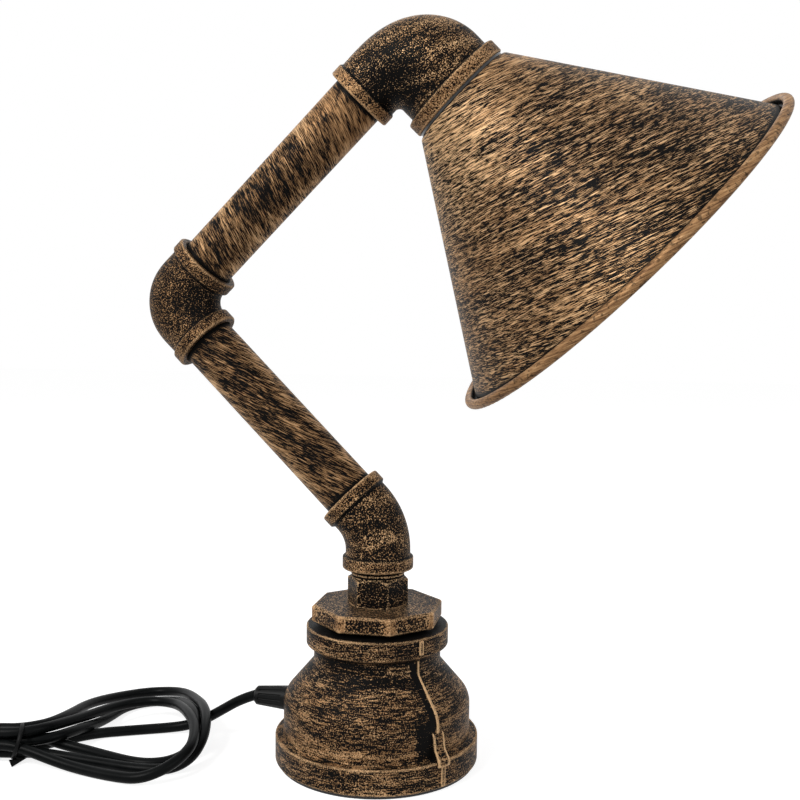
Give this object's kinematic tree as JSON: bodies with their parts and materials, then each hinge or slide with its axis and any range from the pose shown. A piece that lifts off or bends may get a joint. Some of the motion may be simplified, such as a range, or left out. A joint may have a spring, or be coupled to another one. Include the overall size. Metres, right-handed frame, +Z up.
{
  "type": "industrial pipe table lamp",
  "caption": "Pipe table lamp: weighted socket foot, swivelling pipe arms with elbows, conical metal shade, lampholder with bulb, and a tied flex with in-line switch and plug.",
  "frame": {"origin": "centre of the foot pad's underside, on the surface that the lamp stands on", "axes": "+Z up; the pipe arms fold in the XZ plane with the shade towards +X; the flex leaves the foot towards -X"},
  "size_m": [0.4819, 0.2986, 0.3625],
  "materials": {
    "bronzed_casting": "black enamel, dry-brushed with copper",
    "bronzed_nipple": "black enamel, dry-brushed with copper",
    "bronzed_pipe": "black enamel, cross-brushed with copper",
    "bronzed_sheet": "black enamel, brushed round with copper",
    "pad_rubber": "matt",
    "ballast_steel": "zinc plated",
    "black_plastic": "satin moulded",
    "flex_pvc": "satin PVC sheath",
    "wire_sleeve": "PVC sleeve",
    "earth_sleeve": "green and yellow PVC",
    "tie_plastic": "matt",
    "terminal_plastic": "moulded",
    "brass_parts": "plain",
    "holder_plastic": "moulded",
    "ceramic": "glazed",
    "bulb_cap_alloy": "rolled",
    "bulb_glass": "clear",
    "filament": "phosphor coated"
  },
  "bodies": {
    "stand": {"foot_pad": "pad_rubber", "base_casting": "bronzed_casting", "ballast_disc": "ballast_steel", "octagon_bushing": "bronzed_casting", "hex_nipple": "bronzed_nipple", "cord_gland": "black_plastic", "gland_nut": "black_plastic", "flex_inner": "flex_pvc", "terminal_block": "terminal_plastic", "terminal_screws": "brass_parts", "earth_ring": "brass_parts", "earth_screw": "ballast_steel", "earth_lead": "earth_sleeve", "base_wires": "wire_sleeve", "cord": "flex_pvc", "cord_hank": "flex_pvc", "cord_tie": "tie_plastic", "cord_tail": "flex_pvc", "plug_lead": "flex_pvc", "switch_base": "black_plastic", "switch_cover": "black_plastic", "switch_pin": "ballast_steel", "switch_contacts": "brass_parts", "switch_screws": "ballast_steel", "plug_base": "black_plastic", "plug_cover": "black_plastic", "plug_pins": "brass_parts", "plug_fuse": "ceramic", "plug_screw": "ballast_steel"},
    "lower_arm": {"elbow_45": "bronzed_casting", "lower_pipe": "bronzed_pipe", "lower_wires": "wire_sleeve"},
    "upper_arm": {"mid_elbow": "bronzed_casting", "upper_pipe": "bronzed_pipe", "upper_wires": "wire_sleeve"},
    "head": {"top_elbow": "bronzed_casting", "shade": "bronzed_sheet", "holder_ring": "ballast_steel", "holder_cap": "holder_plastic", "holder_sleeve": "holder_plastic", "holder_core": "ceramic", "holder_shell": "brass_parts", "holder_contact": "brass_parts", "shade_ring": "holder_plastic", "bulb_cap": "bulb_cap_alloy", "bulb_glass": "bulb_glass", "bulb_stem": "bulb_glass", "bulb_filaments": "filament", "head_wires": "wire_sleeve"},
    "rocker": {"switch_rocker": "black_plastic"}
  },
  "joints": [
    {"name": "base_swivel", "type": "hinge", "parent": "stand", "child": "lower_arm", "pos_m": [0, 0, 0.1172], "axis": [0, 0, 1], "range_deg": [-90, 90]},
    {"name": "arm_swivel", "type": "hinge", "parent": "lower_arm", "child": "upper_arm", "pos_m": [-0.10932, 0, 0.22652], "axis": [-0.7071, 0, 0.7071], "range_deg": [-40, 40]},
    {"name": "head_swivel", "type": "hinge", "parent": "upper_arm", "child": "head", "pos_m": [0.01379, 0, 0.34963], "axis": [0.7071, 0, 0.7071], "range_deg": [-90, 90]},
    {"name": "switch_press", "type": "hinge", "parent": "stand", "child": "rocker", "pos_m": [-0.281, -0.076, 0.0135], "axis": [-1, 0, 0], "range_deg": [0, 24]}
  ]
}
